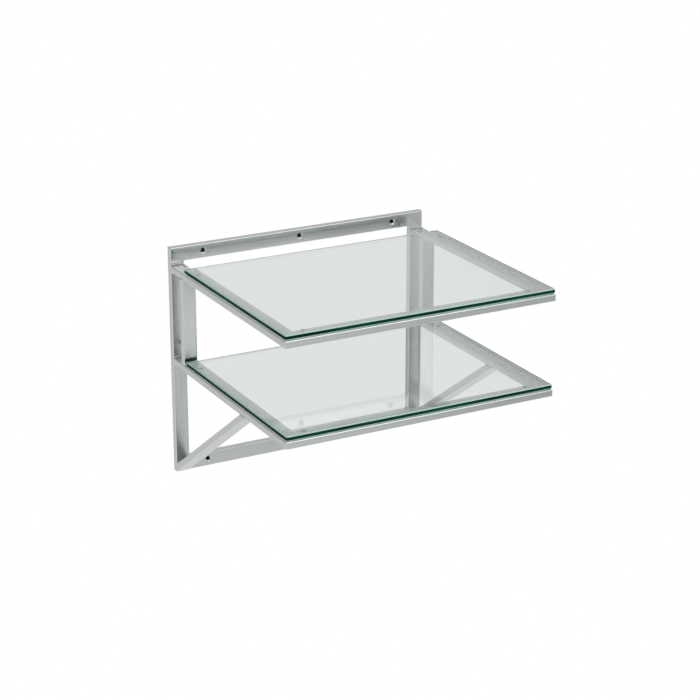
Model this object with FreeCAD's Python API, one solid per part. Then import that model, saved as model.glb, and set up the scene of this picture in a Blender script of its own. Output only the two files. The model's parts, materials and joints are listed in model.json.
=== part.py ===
import FreeCAD, Part
import math
import os

# A two-tier wall shelf: a welded frame of flat rectangular tube that carries two loose glass
# panels on clear pads. Millimetres. +X is right seen from the room, +Y points into the wall,
# +Z is up. The origin is the middle of the wall frame, on the wall plane, so the back of the
# frame lies at y = 0 and everything else stands at negative y.

# --- Driving dimensions -------------------------------------------------------------------
# Flat tube, the same section all over: the wide side, the thin side, its wall and its edge.
TUBE_WIDE = 25.0
TUBE_THIN = 12.0
TUBE_WALL = 1.5
TUBE_EDGE_RADIUS = 2.0

# Whole frame.
FRAME_WIDTH = 480.0
FRAME_HEIGHT = 400.0
FRAME_DEPTH = 438.0

# The mitred corners are ground round after welding.
MITRE_CORNER_RADIUS = 1.5

# Heights of the tops of the two shelf frames, above the origin.
UPPER_FRAME_TOP = 170.0
LOWER_FRAME_TOP = 8.0

# Posts that tie the upper arms to the lower arms, and braces under the lower arms.
POST_FRONT = 57.0
BRACE_ANGLE = 35.0

# Glass panels: thickness, ground arris along every edge, plan corner radius, how far the panel
# stays inside the outer faces of its frame, and the slot left in front of the posts.
GLASS_THICKNESS = 8.0
GLASS_ARRIS = 1.5
GLASS_CORNER_RADIUS = 2.0
GLASS_INSET = 1.0
GLASS_REAR_SLOT = 9.0

# Clear self-adhesive pads between frame and glass. The front ones sit on the front rail, measured
# from the frame's outer faces, and the rear ones on the arms, measured from the glass's rear edge.
PAD_DIAMETER = 8.0
PAD_THICKNESS = 1.0
PAD_EDGE_RADIUS = 0.3
FRONT_PAD_FROM_SIDE = 40.0
FRONT_PAD_FROM_FRONT = 20.0
REAR_PAD_FROM_REAR = 30.0

# Screw holes through the top and bottom rails, countersunk from the room side. The front wall
# of the tube is dimpled into the hole, so that it bears on the screw head.
HOLE_SPACING = 180.0
HOLE_DIAMETER = 5.5
COUNTERSINK_DIAMETER = 11.0
DIMPLE_WALL = 1.2

# How far a cutting shape stands past what it cuts, and the smallest length that isn't zero.
CUT_SPARE = 1.0
TINY = 1e-6

# --- Derived places -----------------------------------------------------------------------
HALF_WIDTH = FRAME_WIDTH / 2
HALF_HEIGHT = FRAME_HEIGHT / 2
RAIL_HEIGHT = HALF_HEIGHT - TUBE_WIDE / 2
SIDE_CENTRE = HALF_WIDTH - TUBE_WIDE / 2
HOLE_PLACES = (-HOLE_SPACING, 0.0, HOLE_SPACING)
SIDES = (("left", -1), ("right", 1))
TIERS = (("upper", UPPER_FRAME_TOP), ("lower", LOWER_FRAME_TOP))

X_AXIS = FreeCAD.Vector(1, 0, 0)
Y_AXIS = FreeCAD.Vector(0, 1, 0)
Z_AXIS = FreeCAD.Vector(0, 0, 1)


def rounded_rectangle(wide, thin, radius):
    """Face in the XY plane, centred on the origin, with arcs at its four corners."""
    plate = Part.makeBox(wide, thin, 1, FreeCAD.Vector(-wide / 2, -thin / 2, 0))
    upright_edges = [e for e in plate.Edges if e.BoundBox.ZLength > TINY]
    plate = plate.makeFillet(radius, upright_edges)
    return min(plate.Faces, key=lambda face: face.CenterOfMass.z)


def tube(start, end, wide_direction):
    """Rectangular tube from start to end, with its wide side along wide_direction."""
    along = end.sub(start)
    outer = rounded_rectangle(TUBE_WIDE, TUBE_THIN, TUBE_EDGE_RADIUS)
    inner = rounded_rectangle(TUBE_WIDE - 2 * TUBE_WALL, TUBE_THIN - 2 * TUBE_WALL,
                              TUBE_EDGE_RADIUS - TUBE_WALL)
    length = FreeCAD.Vector(0, 0, along.Length)
    body = outer.extrude(length).cut(inner.extrude(length))
    third = FreeCAD.Vector(along).normalize().cross(wide_direction)
    turn = FreeCAD.Rotation(wide_direction, third, along, "XZY")
    body.Placement = FreeCAD.Placement(start, turn)
    return body


def prism(points, direction, length):
    """Solid with the polygon's shape, pushed along direction by length."""
    outline = Part.makePolygon([FreeCAD.Vector(*p) for p in points + points[:1]])
    return Part.Face(outline).extrude(FreeCAD.Vector(direction).multiply(length))


def wall_mitre(side_x, side_z):
    """Triangular prism that belongs to the upright at one corner of the wall frame."""
    inner_x = side_x * (HALF_WIDTH - TUBE_WIDE)
    inner_z = side_z * (HALF_HEIGHT - TUBE_WIDE)
    outer = (side_x * HALF_WIDTH, CUT_SPARE, side_z * HALF_HEIGHT)
    inner = (inner_x, CUT_SPARE, inner_z)
    beside = (side_x * HALF_WIDTH, CUT_SPARE, inner_z)
    return prism([outer, inner, beside], -Y_AXIS, TUBE_THIN + 2 * CUT_SPARE)


def shelf_mitre(side_x, frame_top):
    """Triangular prism that belongs to the arm at one front corner of a shelf frame."""
    inner_x = side_x * (HALF_WIDTH - TUBE_WIDE)
    inner_y = -FRAME_DEPTH + TUBE_WIDE
    above = frame_top + CUT_SPARE
    outer = (side_x * HALF_WIDTH, -FRAME_DEPTH, above)
    inner = (inner_x, inner_y, above)
    behind = (side_x * HALF_WIDTH, inner_y, above)
    return prism([outer, inner, behind], -Z_AXIS, TUBE_THIN + 2 * CUT_SPARE)


def slab(corner, size):
    """Block from its lowest corner, with the four edges along its thinnest side rounded."""
    block = Part.makeBox(*size, FreeCAD.Vector(*corner))
    thin = size.index(min(size))
    spans = [(e.BoundBox.XLength, e.BoundBox.YLength, e.BoundBox.ZLength) for e in block.Edges]
    thin_edges = [e for e, span in zip(block.Edges, spans) if span[thin] > TINY]
    return block.makeFillet(MITRE_CORNER_RADIUS, thin_edges)


def wall_outline():
    """Slab with the outline of the wall frame, ground round at its corners."""
    return slab((-HALF_WIDTH, -TUBE_THIN, -HALF_HEIGHT), (FRAME_WIDTH, TUBE_THIN, FRAME_HEIGHT))


def shelf_outline(frame_top):
    """Slab with the outline of a shelf frame, which reaches past the wall so as to round only
    the front corners."""
    return slab((-HALF_WIDTH, -FRAME_DEPTH, frame_top - TUBE_THIN),
                (FRAME_WIDTH, FRAME_DEPTH + TUBE_WIDE, TUBE_THIN))


def drill(rail, height):
    """Dimples and drills the countersunk screw holes through a rail of the wall frame."""
    sink_depth = (COUNTERSINK_DIAMETER - HOLE_DIAMETER) / 2
    skirt = DIMPLE_WALL * math.sqrt(2)
    for x in HOLE_PLACES:
        front = FreeCAD.Vector(x, -TUBE_THIN, height)
        back = FreeCAD.Vector(x, 0, height)
        mouth_radius = COUNTERSINK_DIAMETER / 2
        bore_radius = HOLE_DIAMETER / 2
        cup = Part.makeCone(mouth_radius + skirt, bore_radius + skirt, sink_depth, front, Y_AXIS)
        sink = Part.makeCone(mouth_radius, bore_radius, sink_depth, front, Y_AXIS)
        bore = Part.makeCylinder(bore_radius, TUBE_THIN, back, -Y_AXIS)
        rail = rail.fuse(cup).cut(sink).cut(bore).removeSplitter()
    return rail


def wall_rail(side_z):
    """Top or bottom rail of the wall frame, mitred at both ends and drilled."""
    height = side_z * RAIL_HEIGHT
    rail = tube(FreeCAD.Vector(-HALF_WIDTH, -TUBE_THIN / 2, height),
                FreeCAD.Vector(HALF_WIDTH, -TUBE_THIN / 2, height), Z_AXIS)
    for _, side_x in SIDES:
        rail = rail.cut(wall_mitre(side_x, side_z))
    return drill(rail.common(wall_outline()), height)


def wall_upright(side_x):
    """Left or right upright of the wall frame, mitred to both rails."""
    x = side_x * SIDE_CENTRE
    full = tube(FreeCAD.Vector(x, -TUBE_THIN / 2, -HALF_HEIGHT),
                FreeCAD.Vector(x, -TUBE_THIN / 2, HALF_HEIGHT), X_AXIS)
    keep = Part.makeBox(TUBE_WIDE, TUBE_THIN + 2 * CUT_SPARE, FRAME_HEIGHT - 2 * TUBE_WIDE,
                        FreeCAD.Vector(x - TUBE_WIDE / 2, -TUBE_THIN - CUT_SPARE,
                                       TUBE_WIDE - HALF_HEIGHT))
    for side_z in (-1, 1):
        keep = keep.fuse(wall_mitre(side_x, side_z))
    return full.common(keep).common(wall_outline())


def shelf_arm(side_x, frame_top):
    """Side arm of a shelf frame, from the upright's front face to the mitred front corner."""
    x = side_x * SIDE_CENTRE
    z = frame_top - TUBE_THIN / 2
    arm = tube(FreeCAD.Vector(x, -TUBE_THIN, z), FreeCAD.Vector(x, -FRAME_DEPTH, z), X_AXIS)
    corner = Part.makeBox(TUBE_WIDE, TUBE_WIDE, TUBE_THIN,
                          FreeCAD.Vector(x - TUBE_WIDE / 2, -FRAME_DEPTH, frame_top - TUBE_THIN))
    mitred = arm.cut(corner.cut(shelf_mitre(side_x, frame_top)))
    return mitred.common(shelf_outline(frame_top))


def front_rail(frame_top):
    """Front rail of a shelf frame, mitred at both ends."""
    y = -FRAME_DEPTH + TUBE_WIDE / 2
    z = frame_top - TUBE_THIN / 2
    rail = tube(FreeCAD.Vector(-HALF_WIDTH, y, z), FreeCAD.Vector(HALF_WIDTH, y, z), Y_AXIS)
    for _, side_x in SIDES:
        rail = rail.cut(shelf_mitre(side_x, frame_top))
    return rail.common(shelf_outline(frame_top))


def post(side_x):
    """Post between the underside of an upper arm and the top of the lower arm."""
    x = side_x * SIDE_CENTRE
    y = -POST_FRONT + TUBE_THIN / 2
    return tube(FreeCAD.Vector(x, y, LOWER_FRAME_TOP),
                FreeCAD.Vector(x, y, UPPER_FRAME_TOP - TUBE_THIN), X_AXIS)


def brace(side_x):
    """Diagonal brace from the foot of an upright to the underside of the lower arm.

    The lower face starts on the bottom edge of the wall frame. Both ends are cut to lie flat on
    the tube that they are welded to.
    """
    x = side_x * SIDE_CENTRE
    slope = math.radians(BRACE_ANGLE)
    along = FreeCAD.Vector(0, -math.cos(slope), math.sin(slope))
    up_and_back = FreeCAD.Vector(0, math.sin(slope), math.cos(slope))
    foot = FreeCAD.Vector(x, -TUBE_THIN, -HALF_HEIGHT) + up_and_back * (TUBE_THIN / 2)
    arm_underside = LOWER_FRAME_TOP - TUBE_THIN
    rise = arm_underside + HALF_HEIGHT
    run = rise / math.tan(slope)
    spare = 2 * TUBE_THIN
    bar = tube(foot - along * spare, foot + along * (rise / math.sin(slope) + spare), X_AXIS)
    room = Part.makeBox(TUBE_WIDE, run + spare, rise,
                        FreeCAD.Vector(x - TUBE_WIDE / 2, -TUBE_THIN - run - spare, -HALF_HEIGHT))
    return bar.common(room)


def glass_rear():
    """Distance of the glass's rear edge in front of the wall."""
    return POST_FRONT + GLASS_REAR_SLOT


def glass_panel(frame_top):
    """Glass panel with rounded plan corners and a ground arris along every edge."""
    width = FRAME_WIDTH - 2 * GLASS_INSET
    depth = FRAME_DEPTH - GLASS_INSET - glass_rear()
    corner = FreeCAD.Vector(-width / 2, -FRAME_DEPTH + GLASS_INSET, frame_top + PAD_THICKNESS)
    panel = Part.makeBox(width, depth, GLASS_THICKNESS, corner)
    upright_edges = [e for e in panel.Edges if e.BoundBox.ZLength > TINY]
    panel = panel.makeFillet(GLASS_CORNER_RADIUS, upright_edges)
    rim = [e for e in panel.Edges if e.BoundBox.ZLength < TINY]
    return panel.makeChamfer(GLASS_ARRIS, rim)


def glass_pads(frame_top):
    """Four round pads of one shelf: two on the arms near the rear, two on the front rail."""
    rear_place = (SIDE_CENTRE, -glass_rear() - REAR_PAD_FROM_REAR)
    front_place = (HALF_WIDTH - FRONT_PAD_FROM_SIDE, -FRAME_DEPTH + FRONT_PAD_FROM_FRONT)
    pads = []
    for _, side_x in SIDES:
        for x, y in (rear_place, front_place):
            pad = Part.makeCylinder(PAD_DIAMETER / 2, PAD_THICKNESS,
                                    FreeCAD.Vector(side_x * x, y, frame_top))
            top_rim = [e for e in pad.Edges
                       if e.BoundBox.ZLength < TINY and e.BoundBox.ZMin > frame_top]
            pads.append(pad.makeFillet(PAD_EDGE_RADIUS, top_rim))
    return Part.makeCompound(pads)


def build_nodes():
    """Every piece of the shelf by name."""
    nodes = {
        "top_rail": wall_rail(1),
        "bottom_rail": wall_rail(-1),
    }
    for side, side_x in SIDES:
        nodes[side + "_upright"] = wall_upright(side_x)
        nodes[side + "_post"] = post(side_x)
        nodes[side + "_brace"] = brace(side_x)
    for tier, frame_top in TIERS:
        for side, side_x in SIDES:
            nodes[f"{tier}_{side}_arm"] = shelf_arm(side_x, frame_top)
        nodes[tier + "_front_rail"] = front_rail(frame_top)
        nodes[tier + "_glass"] = glass_panel(frame_top)
        nodes[tier + "_glass_pads"] = glass_pads(frame_top)
    return nodes


os.makedirs("parts", exist_ok=True)
for name, shape in build_nodes().items():
    shape.exportStep(f"parts/{name}.step")
    box = shape.optimalBoundingBox(False)
    print(f"{name}: {len(shape.Solids)} solid, valid {shape.isValid()}, "
          f"volume {shape.Volume:.0f}, x {box.XMin:.1f} to {box.XMax:.1f}, "
          f"y {box.YMin:.1f} to {box.YMax:.1f}, z {box.ZMin:.1f} to {box.ZMax:.1f}")
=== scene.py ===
import json
import math

import bmesh
import bpy
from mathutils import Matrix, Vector, noise


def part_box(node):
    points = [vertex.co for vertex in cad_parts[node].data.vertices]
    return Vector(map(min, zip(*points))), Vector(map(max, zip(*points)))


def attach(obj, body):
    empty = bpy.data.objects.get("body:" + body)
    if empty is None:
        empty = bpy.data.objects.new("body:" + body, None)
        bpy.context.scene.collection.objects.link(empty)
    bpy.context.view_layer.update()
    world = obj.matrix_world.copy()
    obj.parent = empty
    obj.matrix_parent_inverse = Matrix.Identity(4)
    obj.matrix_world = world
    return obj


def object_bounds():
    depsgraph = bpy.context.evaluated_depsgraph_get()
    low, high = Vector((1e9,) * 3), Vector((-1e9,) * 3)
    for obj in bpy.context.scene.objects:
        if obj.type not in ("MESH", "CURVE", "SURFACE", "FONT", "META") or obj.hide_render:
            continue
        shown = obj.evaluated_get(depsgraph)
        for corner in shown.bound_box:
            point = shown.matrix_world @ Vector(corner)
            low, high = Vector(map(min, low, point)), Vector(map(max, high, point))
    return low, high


# A two-tier wall shelf of brushed flat tube and clear glass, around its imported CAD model. Metres,
# +X right seen from the room, +Y into the wall, +Z up. Every place comes from the frame.
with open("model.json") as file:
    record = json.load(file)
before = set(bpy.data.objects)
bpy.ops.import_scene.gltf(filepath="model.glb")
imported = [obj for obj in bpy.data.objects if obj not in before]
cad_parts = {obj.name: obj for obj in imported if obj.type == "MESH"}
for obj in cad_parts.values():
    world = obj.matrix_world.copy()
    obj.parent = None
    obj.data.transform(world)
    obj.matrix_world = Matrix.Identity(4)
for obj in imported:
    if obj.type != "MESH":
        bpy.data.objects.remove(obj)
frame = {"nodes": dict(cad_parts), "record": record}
cad_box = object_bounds()

X_AXIS = Vector((1, 0, 0))
Y_AXIS = Vector((0, 1, 0))
Z_AXIS = Vector((0, 0, 1))
MM = 0.001
SIDES = (("left", -1), ("right", 1))
TIERS = ("upper", "lower")

# --- Camera, floor and light ----------------------------------------------------------------
CAMERA_AZIMUTH = math.radians(-28.09)
CAMERA_ELEVATION = math.radians(19.84)
CAMERA_DISTANCE = 3.4513
CAMERA_TARGET = Vector((0.0032, -0.1869, 0.0361))
LENS_MM = 107.08
SENSOR_MM = 36.0

FLOOR_HEIGHT = -1.2
FLOOR_SIZE = 80.0
WHITE = (1.0, 1.0, 1.0)
BLACK = (0.0, 0.0, 0.0)
FLOOR_LIGHT = (0.82, 0.82, 0.82)

# One patch of floor, in front and to the right, is less bright. It shades the front rails.
FLOOR_DIM = (0.40, 0.405, 0.405)
DIM_PATCH_CENTRE = (2.6, -3.0, 0.0)
DIM_PATCH_RADII = (0.7, 1.4)

# The light all round is soft: brightest from above and behind the shelf, a little to the right.
SKY_DIM = (0.38, 0.385, 0.385)
SKY_BRIGHT = (0.80, 0.80, 0.80)
BRIGHT_DIRECTION = Vector((0.22, 0.88, 0.42)).normalized()

# Cosine of the angle from the bright direction, where the light begins to rise and is full.
BRIGHT_SPREAD = (0.85, 0.96)

# Softboxes: name, place, width, height and radiant power in watts. All face the shelf.
SOFTBOXES = (
    ("key_softbox", Vector((0.0, -2.2, 1.30)), 3.2, 1.4, 21.5),
    ("top_softbox", Vector((0.40, -1.3, 2.10)), 2.6, 1.2, 8.5),
)

# Light passes many times through two panels and between the tubes.
MOST_BOUNCES = 32
GLOSSY_BOUNCES = 16

# --- Noise ----------------------------------------------------------------------------------
# Smooth noise mostly stays inside these ranges. The narrow one gives more contrast.
NOISE_WIDE = (0.3, 0.7)
NOISE_NARROW = (0.35, 0.65)
BUMP_DISTANCE = 0.0001
FINE_BUMP = 0.2

# --- Metal ----------------------------------------------------------------------------------
METAL_DARK = (0.475, 0.494, 0.497)
METAL_LIGHT = (0.615, 0.634, 0.636)
# Colour of the rounded edges: partly wear, partly a painted highlight.
METAL_EDGE_WEAR_AND_HIGHLIGHT = (0.68, 0.695, 0.70)
GRAIN_LENGTH = 0.15
GRAIN_WIDTH = 0.00025
STREAK_LENGTH = 4.0
STREAK_WIDTH = 0.0030
STREAK_SHARE = 0.65
GRAIN_SHARE = 0.35
GRAIN_BUMP = 0.12
SMUDGE_SIZE = 0.045
SMUDGE_ROUGHNESS = (-0.01, 0.01)
METAL_ROUGHNESS = (0.20, 0.24)
METAL_ANISOTROPY = 0.75

# How squarely a tube's rounded edge faces one of its sides, where its brighter colour begins and is
# full. That colour is partly wear and partly a painted highlight.
EDGE_WEAR_AND_HIGHLIGHT_SPREAD = (0.995, 0.80)

# The screw bores get a near-black painted shade where shade falls inside them. In bore radii, how far
# out it begins and is full.
BORE_PAINTED_SHADE = (0.012, 0.016, 0.015)
BORE_SHADE_SPREAD = (1.35, 1.10)

# --- Welds ----------------------------------------------------------------------------------
WELD_DARK = (0.50, 0.51, 0.51)
WELD_LIGHT = (0.80, 0.80, 0.79)
WELD_ROUGHNESS = (0.14, 0.30)
WELD_MOTTLES_PER_METRE = 900.0
WELD_LEG = 0.0030
WELD_CONVEX = 0.64
WELD_PITCH = 0.0014
WELD_SUNK = 0.0003
WELD_STEPS_PER_PITCH = 8
WELD_LEAST_STEPS = 12
WELD_ARC_STEPS = 8
WELD_END_INSET = 0.0012
MITRE_WELD_LEG = 0.0012

# A bead's ripple is partly its regular pitch and partly a slow drift, which differs from bead to
# bead because it depends on where the bead starts.
WELD_RIPPLE = 0.10
WELD_PITCH_SHARE = 0.5
WELD_DRIFTS_PER_METRE = 260
WELD_STARTS_PER_METRE = 700

# A bead tapers at its ends, the more suddenly the higher the power, and stops at this share.
WELD_TAPER_POWER = 8
WELD_LEAST_TAPER = 0.06

# --- Glass ----------------------------------------------------------------------------------
GLASS_IOR = 1.52
GLASS_ABSORPTION = (0.08, 0.42, 0.33)
GLASS_DENSITY = 12.0
FILM_PATCHES_PER_METRE = 22.0
FILM_SPREAD = (0.5, 0.8)
FILM_ROUGHNESS = (0.0, 0.02)

# How level a surface of a panel is, from 0 for its edges to 1 for its faces. Arrises lie between.
EDGE_LIMIT = 0.35
ARRIS_LIMIT = 0.90

# The arrises are ground matt. From inside the panel they are frosted, and the rim loses light.
GROUND_DARK = (0.40, 0.64, 0.56)
GROUND_LIGHT = (0.55, 0.78, 0.71)
GRITS_PER_METRE = 1500.0
GROUND_ROUGHNESS = (0.4, 0.6)
FROST_ROUGHNESS = 0.45
RIM_LOSS = 0.28

EDGE_DARK = (0.002, 0.022, 0.014)
EDGE_LIGHT = (0.008, 0.055, 0.036)
EDGE_BANDS_PER_METRE = 9.0
EDGE_IOR = 1.05
EDGE_ROUGHNESS = 0.12

# --- Pads -----------------------------------------------------------------------------------
PAD_DARK = (0.86, 0.88, 0.88)
PAD_LIGHT = (0.96, 0.98, 0.98)
PAD_HAZES_PER_METRE = 600.0
PAD_ROUGHNESS = (0.05, 0.20)
PAD_TRANSMISSION = 0.9
PAD_IOR = 1.40
PAD_ALPHA = 0.15


def add(tree, kind, inputs=None, **settings):
    """New shader node with its settings, and with its inputs linked or set."""
    node = tree.nodes.new("ShaderNode" + kind)
    for name, value in settings.items():
        setattr(node, name, value)
    for name, value in (inputs or {}).items():
        if isinstance(value, bpy.types.NodeSocket):
            tree.links.new(value, node.inputs[name])
        else:
            node.inputs[name].default_value = value
    return node


def maths(tree, operation, first, second=0.0):
    """Socket with the result of one Math node."""
    return add(tree, "Math", {0: first, 1: second}, operation=operation).outputs[0]


def dot(tree, vector, direction):
    """Socket with the part of a vector that lies along a fixed direction."""
    inputs = {0: vector, 1: direction}
    return add(tree, "VectorMath", inputs, operation="DOT_PRODUCT").outputs["Value"]


def remap(tree, value, from_range, to_range):
    """Socket with a value moved from one range to another and held inside it."""
    inputs = {"Value": value, "From Min": from_range[0], "From Max": from_range[1],
              "To Min": to_range[0], "To Max": to_range[1]}
    return add(tree, "MapRange", inputs).outputs["Result"]


def blend(tree, share, first, second):
    """Socket with a mix of two colours, each a socket or three numbers."""
    def colour(value):
        return value if isinstance(value, bpy.types.NodeSocket) else (*value, 1.0)

    # A Mix node's colours are its inputs 6 and 7 and its output 2.
    inputs = {0: share, 6: colour(first), 7: colour(second)}
    return add(tree, "Mix", inputs, data_type="RGBA").outputs[2]


def cloud(tree, vector, detail=2.0, scale=1.0):
    """Socket with smooth noise from 0 to 1."""
    inputs = {"Vector": vector, "Scale": scale, "Detail": detail}
    return add(tree, "TexNoise", inputs).outputs["Fac"]


def new_material(name):
    """Empty material with a Principled shader: the material, its tree and the shader node."""
    material = bpy.data.materials.new(name)
    material.use_nodes = True
    tree = material.node_tree
    tree.nodes.clear()
    shader = add(tree, "BsdfPrincipled")
    output = add(tree, "OutputMaterial")
    tree.links.new(shader.outputs[0], output.inputs["Surface"])
    return material, tree, shader


def stretched(tree, place, axes, sizes):
    """Vector in which one unit is as long as the given size along each axis."""
    parts = [maths(tree, "DIVIDE", dot(tree, place, axis), size)
             for axis, size in zip(axes, sizes)]
    return add(tree, "CombineXYZ", {0: parts[0], 1: parts[1], 2: parts[2]}).outputs[0]


def in_bores(tree, place):
    """Socket that is 1 in the screw bores and 0 elsewhere.

    The bolt patterns are centred on the origin, so one hole of each stands for its mirror images.
    """
    mirrored = add(tree, "VectorMath", {0: place}, operation="ABSOLUTE").outputs[0]
    flat = add(tree, "VectorMath", {0: mirrored, 1: X_AXIS + Z_AXIS}, operation="MULTIPLY").outputs[0]
    share = 0.0
    for mount in frame["record"]["mounts"]:
        if mount["kind"] != "bolt_pattern":
            continue
        dims = mount["dims"]
        spacing = Vector((dims.get("spacing_x_mm", 0.0), 0.0, dims["spacing_y_mm"]))
        radius = dims["hole_r_mm"] * MM
        hole = spacing / 2 * MM
        reach = add(tree, "VectorMath", {0: flat, 1: hole}, operation="DISTANCE").outputs["Value"]
        near = remap(tree, reach, [radius * limit for limit in BORE_SHADE_SPREAD], (0.0, 1.0))
        share = maths(tree, "MAXIMUM", share, near)
    return share


def brushed_metal(name, along, wide, drilled=False):
    """Satin metal brushed along a tube, brighter on its rounded edges: partly wear, partly a painted
    highlight.
    """
    material, tree, shader = new_material(name)
    thin = along.cross(wide)
    axes = (along, wide, thin)
    coordinates = add(tree, "TexCoord")
    place = coordinates.outputs["Object"]
    normal = coordinates.outputs["Normal"]

    grain = cloud(tree, stretched(tree, place, axes, (GRAIN_LENGTH, GRAIN_WIDTH, GRAIN_WIDTH)))
    streak = cloud(tree, stretched(tree, place, axes, (STREAK_LENGTH, STREAK_WIDTH, STREAK_WIDTH)))
    smudge = cloud(tree, place, detail=3.0, scale=1 / SMUDGE_SIZE)

    wide_part = maths(tree, "ABSOLUTE", dot(tree, normal, wide))
    thin_part = maths(tree, "ABSOLUTE", dot(tree, normal, thin))
    facing = maths(tree, "MAXIMUM", wide_part, thin_part)
    edge = remap(tree, facing, EDGE_WEAR_AND_HIGHLIGHT_SPREAD, (0.0, 1.0))

    lines = maths(tree, "ADD", maths(tree, "MULTIPLY", streak, STREAK_SHARE),
                  maths(tree, "MULTIPLY", grain, GRAIN_SHARE))
    face_colour = blend(tree, remap(tree, lines, NOISE_WIDE, (0.0, 1.0)), METAL_DARK, METAL_LIGHT)
    # Rounded edges get a brighter colour: partly wear, partly a painted highlight.
    colour = blend(tree, edge, face_colour, METAL_EDGE_WEAR_AND_HIGHLIGHT)
    # Drilled tubes get a painted shade in their screw bores.
    if drilled:
        colour = blend(tree, in_bores(tree, place), colour, BORE_PAINTED_SHADE)
    tree.links.new(colour, shader.inputs["Base Color"])

    smudged = remap(tree, smudge, NOISE_NARROW, SMUDGE_ROUGHNESS)
    rough = maths(tree, "ADD", remap(tree, grain, NOISE_WIDE, METAL_ROUGHNESS), smudged)
    tree.links.new(rough, shader.inputs["Roughness"])

    bump = add(tree, "Bump", {"Height": grain, "Strength": GRAIN_BUMP, "Distance": BUMP_DISTANCE})
    tree.links.new(bump.outputs[0], shader.inputs["Normal"])

    across = add(tree, "VectorMath", {0: normal, 1: along}, operation="CROSS_PRODUCT")
    tree.links.new(across.outputs[0], shader.inputs["Tangent"])
    shader.inputs["Anisotropic"].default_value = METAL_ANISOTROPY
    shader.inputs["Metallic"].default_value = 1.0
    return material


def weld_metal():
    """Bare weld metal, brighter than the tubes and mottled."""
    material, tree, shader = new_material("weld_metal")
    place = add(tree, "TexCoord").outputs["Object"]
    mottle = cloud(tree, place, detail=4.0, scale=WELD_MOTTLES_PER_METRE)
    colour = blend(tree, remap(tree, mottle, NOISE_NARROW, (0.0, 1.0)), WELD_DARK, WELD_LIGHT)
    tree.links.new(colour, shader.inputs["Base Color"])
    tree.links.new(remap(tree, mottle, NOISE_WIDE, WELD_ROUGHNESS), shader.inputs["Roughness"])
    bump = add(tree, "Bump", {"Height": mottle, "Strength": FINE_BUMP, "Distance": BUMP_DISTANCE})
    tree.links.new(bump.outputs[0], shader.inputs["Normal"])
    shader.inputs["Metallic"].default_value = 1.0
    return material


def ground_arris(tree, place):
    """Shader of a ground arris: pale green and matt, with a fine grit."""
    grit = cloud(tree, place, detail=3.0, scale=GRITS_PER_METRE)
    colour = blend(tree, remap(tree, grit, NOISE_WIDE, (0.0, 1.0)), GROUND_DARK, GROUND_LIGHT)
    bump = add(tree, "Bump", {"Height": grit, "Strength": FINE_BUMP, "Distance": BUMP_DISTANCE})
    rough = remap(tree, grit, NOISE_WIDE, GROUND_ROUGHNESS)
    inputs = {"Base Color": colour, "Roughness": rough, "Normal": bump.outputs[0]}
    return add(tree, "BsdfPrincipled", inputs).outputs[0]


def dark_edge(tree, place):
    """Shader of a panel's edge, where its green colour adds up along the whole panel."""
    depth = cloud(tree, place, scale=EDGE_BANDS_PER_METRE)
    colour = blend(tree, remap(tree, depth, NOISE_NARROW, (0.0, 1.0)), EDGE_DARK, EDGE_LIGHT)
    shader = add(tree, "BsdfPrincipled", {"Base Color": colour, "Roughness": EDGE_ROUGHNESS})
    shader.inputs["IOR"].default_value = EDGE_IOR
    return shader.outputs[0]


def clear_glass():
    """Float glass: clear faces, dark green edges and ground arrises between them.

    From inside the panel its edges are nearly clear and its arrises frosted, as in real glass.
    """
    material, tree, shader = new_material("float_glass")
    coordinates = add(tree, "TexCoord")
    place = coordinates.outputs["Object"]
    level = maths(tree, "ABSOLUTE", dot(tree, coordinates.outputs["Normal"], Z_AXIS))
    inside = add(tree, "NewGeometry").outputs["Backfacing"]
    outside = maths(tree, "SUBTRACT", 1.0, inside)
    on_rim = maths(tree, "LESS_THAN", level, ARRIS_LIMIT)
    on_edge = maths(tree, "LESS_THAN", level, EDGE_LIMIT)
    on_arris = maths(tree, "SUBTRACT", on_rim, on_edge)

    patches = cloud(tree, place, detail=4.0, scale=FILM_PATCHES_PER_METRE)
    film = remap(tree, patches, FILM_SPREAD, FILM_ROUGHNESS)
    frost = maths(tree, "MULTIPLY", maths(tree, "MULTIPLY", inside, on_arris), FROST_ROUGHNESS)
    tree.links.new(maths(tree, "ADD", film, frost), shader.inputs["Roughness"])
    shader.inputs["Base Color"].default_value = (*WHITE, 1.0)
    shader.inputs["Transmission Weight"].default_value = 1.0
    shader.inputs["IOR"].default_value = GLASS_IOR

    arris = maths(tree, "MULTIPLY", outside, on_arris)
    lost_inside = maths(tree, "MULTIPLY", maths(tree, "MULTIPLY", inside, on_rim), RIM_LOSS)
    edge = maths(tree, "ADD", maths(tree, "MULTIPLY", outside, on_edge), lost_inside)
    rimmed = add(tree, "MixShader", {0: arris, 1: shader.outputs[0], 2: ground_arris(tree, place)})
    edged = add(tree, "MixShader", {0: edge, 1: rimmed.outputs[0], 2: dark_edge(tree, place)})
    body = add(tree, "VolumeAbsorption", {"Color": (*GLASS_ABSORPTION, 1.0),
                                          "Density": GLASS_DENSITY})
    output = next(n for n in tree.nodes if n.type == "OUTPUT_MATERIAL")
    tree.links.new(edged.outputs[0], output.inputs["Surface"])
    tree.links.new(body.outputs[0], output.inputs["Volume"])
    return material


def pad_plastic():
    """Soft clear plastic with a little haze in it."""
    material, tree, shader = new_material("pad_plastic")
    place = add(tree, "TexCoord").outputs["Object"]
    haze = cloud(tree, place, detail=3.0, scale=PAD_HAZES_PER_METRE)
    tree.links.new(blend(tree, haze, PAD_DARK, PAD_LIGHT), shader.inputs["Base Color"])
    tree.links.new(remap(tree, haze, NOISE_WIDE, PAD_ROUGHNESS), shader.inputs["Roughness"])
    shader.inputs["Transmission Weight"].default_value = PAD_TRANSMISSION
    shader.inputs["IOR"].default_value = PAD_IOR
    shader.inputs["Alpha"].default_value = PAD_ALPHA
    return material


def finish_node(node, material):
    """Gives one CAD node its material."""
    for slot in frame["nodes"][node].material_slots:
        slot.material = material


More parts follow.
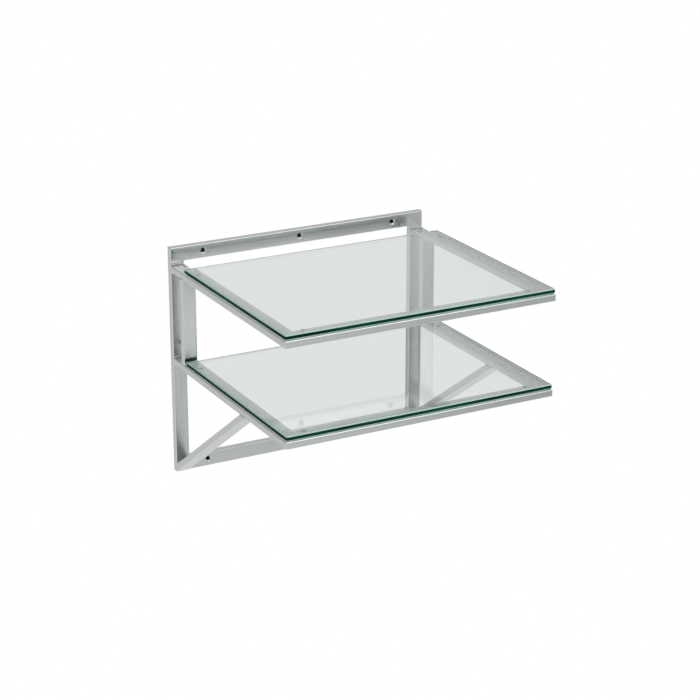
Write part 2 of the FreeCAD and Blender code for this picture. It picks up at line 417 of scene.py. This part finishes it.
def bead_section(corner, side_a, side_b, leg, crown):
    """Cross-section of a weld bead: a curve from one side to the other, closed inside the metal."""
    start = corner + side_a * leg
    end = corner + side_b * leg
    middle = corner + crown
    points = []
    for i in range(WELD_ARC_STEPS + 1):
        t = i / WELD_ARC_STEPS
        points.append(start * (1 - t) ** 2 + middle * 2 * t * (1 - t) + end * t ** 2)
    buried = corner - crown.normalized() * WELD_SUNK
    return points + [buried]


def weld_bead(name, start, end, side_a, side_b, material, leg=WELD_LEG):
    """Closed bead along the corner from start to end, rippled as a weld is and round at its ends."""
    length = (end - start).length
    steps = max(WELD_LEAST_STEPS, round(length / WELD_PITCH * WELD_STEPS_PER_PITCH))
    crown = (side_a + side_b) * leg * WELD_CONVEX * 2
    mesh = bmesh.new()
    rings = []
    for i in range(steps + 1):
        share = i / steps
        travel = share * length
        taper = math.sqrt(max(0.0, 1 - (2 * share - 1) ** WELD_TAPER_POWER))
        wave = math.cos(2 * math.pi * travel / WELD_PITCH)
        drift_place = start * WELD_STARTS_PER_METRE + X_AXIS * (travel * WELD_DRIFTS_PER_METRE)
        ripple = WELD_PITCH_SHARE * wave + noise.noise(drift_place)
        size = max(WELD_LEAST_TAPER, taper) * (1 + WELD_RIPPLE * ripple)
        corner = start.lerp(end, share)
        section = bead_section(corner, side_a, side_b, leg * size, crown * size)
        rings.append([mesh.verts.new(p) for p in section])
    for ring, following in zip(rings, rings[1:]):
        count = len(ring)
        for j in range(count):
            k = (j + 1) % count
            mesh.faces.new((ring[j], ring[k], following[k], following[j]))
    mesh.faces.new(list(reversed(rings[0])))
    mesh.faces.new(rings[-1])
    bmesh.ops.recalc_face_normals(mesh, faces=mesh.faces)
    data = bpy.data.meshes.new(name)
    mesh.to_mesh(data)
    mesh.free()
    for face in data.polygons:
        face.use_smooth = True
    data.materials.append(material)
    piece = bpy.data.objects.new(name, data)
    bpy.context.scene.collection.objects.link(piece)
    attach(piece, "frame")


def cross_beads(name, node, corners, material):
    """Beads across a tube's width. corners holds a tag, y, z and two side directions for each."""
    low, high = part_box(node)
    for tag, y, z, side_a, side_b in corners:
        start = Vector((low.x + WELD_END_INSET, y, z))
        end = Vector((high.x - WELD_END_INSET, y, z))
        weld_bead(f"{name}_{tag}", start, end, side_a, side_b, material)


def arm_welds(material):
    """Beads above and below the rear end of each arm, on the front of its upright."""
    for tier in TIERS:
        for side, _ in SIDES:
            node = f"{tier}_{side}_arm"
            low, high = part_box(node)
            corners = (("top", high.y, high.z, Z_AXIS, -Y_AXIS),
                       ("bottom", high.y, low.z, -Z_AXIS, -Y_AXIS))
            cross_beads(f"weld_{node}", node, corners, material)


def post_welds(material):
    """Beads in front of and behind both ends of each post."""
    for side, _ in SIDES:
        node = side + "_post"
        low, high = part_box(node)
        corners = (("foot_front", low.y, low.z, Z_AXIS, -Y_AXIS),
                   ("foot_back", high.y, low.z, Z_AXIS, Y_AXIS),
                   ("head_front", low.y, high.z, -Z_AXIS, -Y_AXIS),
                   ("head_back", high.y, high.z, -Z_AXIS, Y_AXIS))
        cross_beads(f"weld_{node}", node, corners, material)


def brace_slope():
    """Unit vector up a brace, away from the wall. Its lower face joins two corners of its box."""
    low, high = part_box("left_brace")
    return Vector((0, low.y - high.y, high.z - low.z)).normalized()


def brace_welds(material):
    """Beads at the foot of each brace and on both sides of its head."""
    up = brace_slope()
    arm_low, arm_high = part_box("lower_left_arm")
    thickness = arm_high.z - arm_low.z
    for side, _ in SIDES:
        node = side + "_brace"
        low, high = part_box(node)
        corners = (("foot", high.y, low.z + thickness / -up.y, Z_AXIS, up),
                   ("head_front", low.y, high.z, -Y_AXIS, -up),
                   ("head_back", low.y + thickness / up.z, high.z, Y_AXIS, -up))
        cross_beads(f"weld_{node}", node, corners, material)


def mitre_welds(material):
    """Beads in the inner corners of the wall frame and of both shelf frames."""
    rail_low, rail_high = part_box("top_rail")
    inner_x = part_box("right_upright")[0].x
    for side, side_x in SIDES:
        for tag, side_z in (("top", 1), ("bottom", -1)):
            x, z = side_x * inner_x, side_z * rail_low.z
            start = Vector((x, rail_low.y + WELD_END_INSET, z))
            end = Vector((x, rail_high.y - WELD_END_INSET, z))
            weld_bead(f"weld_wall_frame_{tag}_{side}", start, end, -X_AXIS * side_x,
                      -Z_AXIS * side_z, material, leg=MITRE_WELD_LEG)
        for tier in TIERS:
            low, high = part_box(tier + "_front_rail")
            start = Vector((side_x * inner_x, high.y, low.z + WELD_END_INSET))
            end = Vector((side_x * inner_x, high.y, high.z - WELD_END_INSET))
            weld_bead(f"weld_{tier}_frame_{side}", start, end, -X_AXIS * side_x, Y_AXIS,
                      material, leg=MITRE_WELD_LEG)


def make_camera():
    """Camera at the viewing angle of the reference."""
    data = bpy.data.cameras.new("camera")
    data.lens = LENS_MM
    data.sensor_width = SENSOR_MM
    camera = bpy.data.objects.new("camera", data)
    back = Vector((math.sin(CAMERA_AZIMUTH) * math.cos(CAMERA_ELEVATION),
                   -math.cos(CAMERA_AZIMUTH) * math.cos(CAMERA_ELEVATION),
                   math.sin(CAMERA_ELEVATION)))
    camera.location = CAMERA_TARGET + back * CAMERA_DISTANCE
    camera.rotation_euler = (-back).to_track_quat("-Z", "Y").to_euler()
    bpy.context.scene.collection.objects.link(camera)
    bpy.context.scene.camera = camera


def glow(tree, light):
    """Colour that is plain white to the camera, and the given light to everything else."""
    direct = add(tree, "LightPath").outputs["Is Camera Ray"]
    return blend(tree, direct, light, WHITE)


def make_floor():
    """Plain white floor, far below a shelf that hangs on a wall. It gives off its own light."""
    half = FLOOR_SIZE / 2
    data = bpy.data.meshes.new("floor")
    corners = [(-half, -half, 0), (half, -half, 0), (half, half, 0), (-half, half, 0)]
    data.from_pydata(corners, [], [(0, 1, 2, 3)])
    floor = bpy.data.objects.new("floor", data)
    floor.location.z = FLOOR_HEIGHT
    bpy.context.scene.collection.objects.link(floor)
    material, tree, shader = new_material("floor")
    shader.inputs["Base Color"].default_value = (*BLACK, 1.0)
    shader.inputs["Specular IOR Level"].default_value = 0.0
    place = add(tree, "TexCoord").outputs["Object"]
    reach = add(tree, "VectorMath", {0: place, 1: DIM_PATCH_CENTRE}, operation="DISTANCE")
    share = remap(tree, reach.outputs["Value"], DIM_PATCH_RADII, (0.0, 1.0))
    light = blend(tree, share, FLOOR_DIM, FLOOR_LIGHT)
    tree.links.new(glow(tree, light), shader.inputs["Emission Color"])
    shader.inputs["Emission Strength"].default_value = 1.0
    data.materials.append(material)


def make_sky():
    """Soft light from all round, brighter towards one direction."""
    world = bpy.data.worlds.new("studio")
    world.use_nodes = True
    tree = world.node_tree
    tree.nodes.clear()
    direction = add(tree, "TexCoord").outputs["Generated"]
    nearness = dot(tree, direction, BRIGHT_DIRECTION)
    light = blend(tree, remap(tree, nearness, BRIGHT_SPREAD, (0.0, 1.0)), SKY_DIM, SKY_BRIGHT)
    background = add(tree, "Background", {"Color": glow(tree, light)})
    output = add(tree, "OutputWorld")
    tree.links.new(background.outputs[0], output.inputs["Surface"])
    bpy.context.scene.world = world


def make_softboxes():
    """Large soft lamps round the shelf."""
    middle = (cad_box[0] + cad_box[1]) / 2
    for name, place, width, height, power in SOFTBOXES:
        data = bpy.data.lights.new(name, "AREA")
        data.shape = "RECTANGLE"
        data.size = width
        data.size_y = height
        data.energy = power
        lamp = bpy.data.objects.new(name, data)
        lamp.location = place
        lamp.rotation_euler = (middle - place).to_track_quat("-Z", "Y").to_euler()
        bpy.context.scene.collection.objects.link(lamp)


def finish_nodes():
    """Materials for every CAD node."""
    wall_rail = brushed_metal("brushed_rail", X_AXIS, Z_AXIS, drilled=True)
    upright = brushed_metal("brushed_upright", Z_AXIS, X_AXIS)
    arm = brushed_metal("brushed_arm", Y_AXIS, X_AXIS)
    front_rail = brushed_metal("brushed_front_rail", X_AXIS, Y_AXIS)
    brace = brushed_metal("brushed_brace", brace_slope(), X_AXIS)
    glass = clear_glass()
    pad = pad_plastic()
    for node in ("top_rail", "bottom_rail"):
        finish_node(node, wall_rail)
    for side, _ in SIDES:
        finish_node(side + "_upright", upright)
        finish_node(side + "_post", upright)
        finish_node(side + "_brace", brace)
    for tier in TIERS:
        for side, _ in SIDES:
            finish_node(f"{tier}_{side}_arm", arm)
        finish_node(tier + "_front_rail", front_rail)
        finish_node(tier + "_glass", glass)
        finish_node(tier + "_glass_pads", pad)


bpy.context.scene.view_settings.view_transform = "Standard"
bpy.context.scene.cycles.max_bounces = MOST_BOUNCES
bpy.context.scene.cycles.transmission_bounces = MOST_BOUNCES
bpy.context.scene.cycles.glossy_bounces = GLOSSY_BOUNCES

make_camera()
make_floor()
make_sky()
make_softboxes()
finish_nodes()
weld = weld_metal()
arm_welds(weld)
post_welds(weld)
brace_welds(weld)
mitre_welds(weld)
